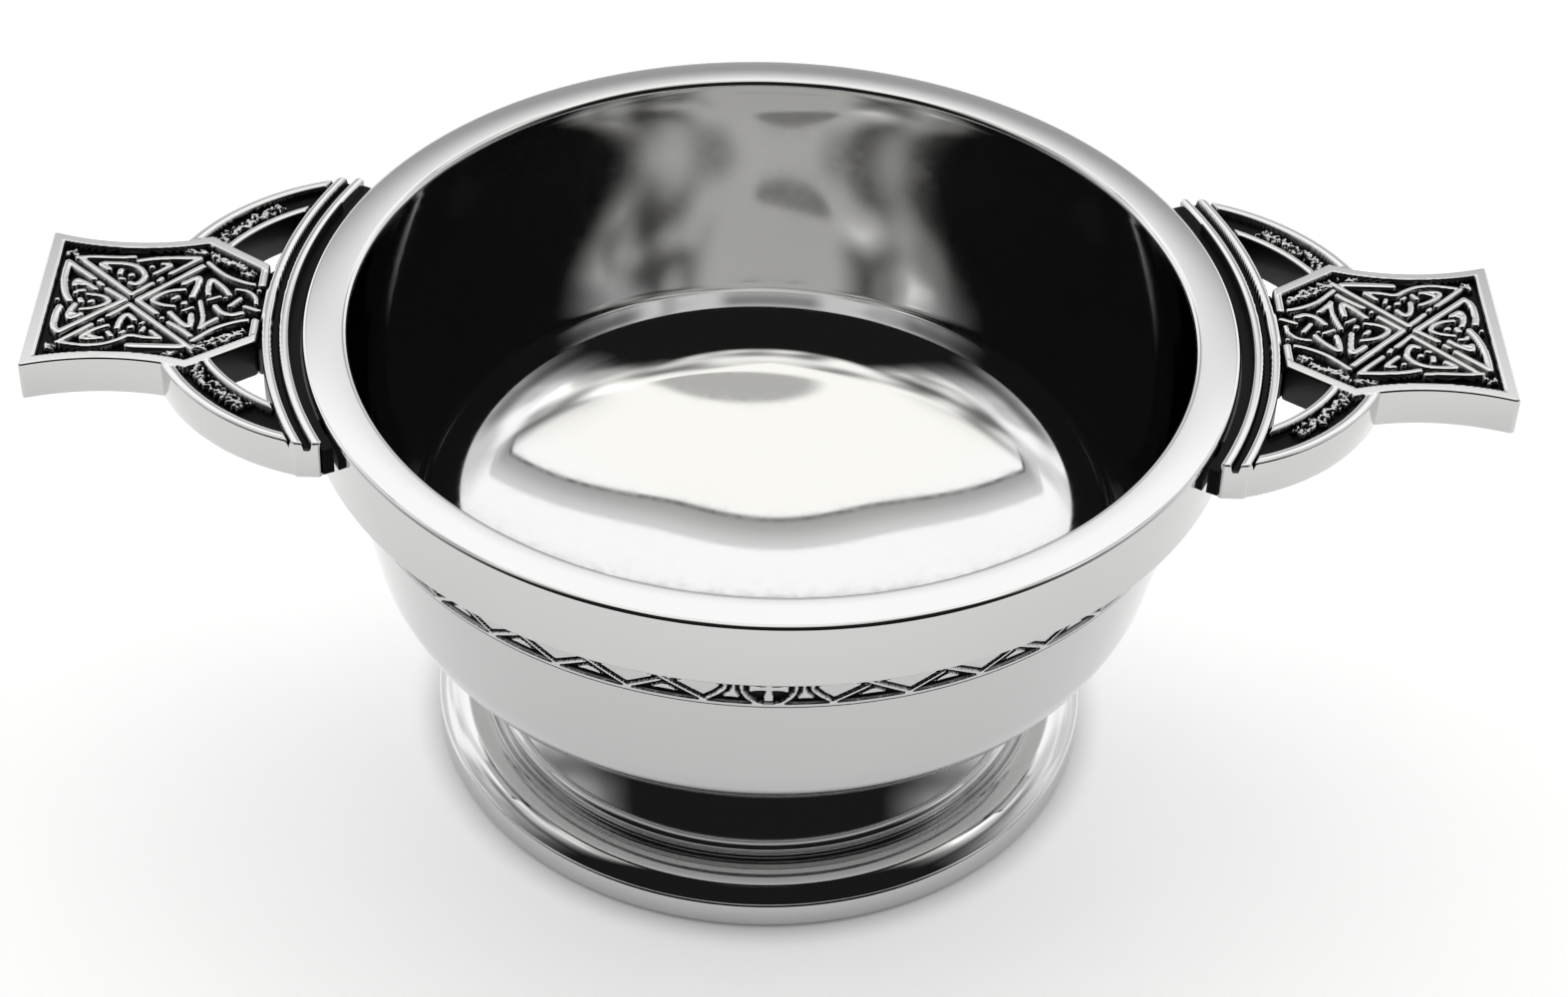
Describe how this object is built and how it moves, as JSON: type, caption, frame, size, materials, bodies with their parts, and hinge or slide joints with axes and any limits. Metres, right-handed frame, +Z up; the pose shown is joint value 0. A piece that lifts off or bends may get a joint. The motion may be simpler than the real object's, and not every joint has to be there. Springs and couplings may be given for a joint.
{
  "type": "quaich",
  "caption": "Footed round drinking cup with a broad flat rim, a knot band under it and two flat ringed-cross lugs pierced and carved with knotwork.",
  "frame": {"origin": "middle of the foot's underside, on the surface that the cup stands on", "axes": "+X along the two lugs, -Y towards the front medallion, +Z up out of the bowl"},
  "size_m": [0.1412, 0.09, 0.05],
  "materials": {
    "polished_pewter": "mirror polished",
    "blackened_pewter": "polished on the raised work, blackened in the recesses",
    "solder": "dull"
  },
  "bodies": {
    "root": {"bowl": "polished_pewter", "rim_collar": "polished_pewter", "knot_band": "blackened_pewter", "foot": "polished_pewter", "left_lug": "blackened_pewter", "right_lug": "blackened_pewter", "collar_solder": "solder", "foot_solder": "solder", "left_lug_solder": "solder", "right_lug_solder": "solder"}
  },
  "joints": []
}
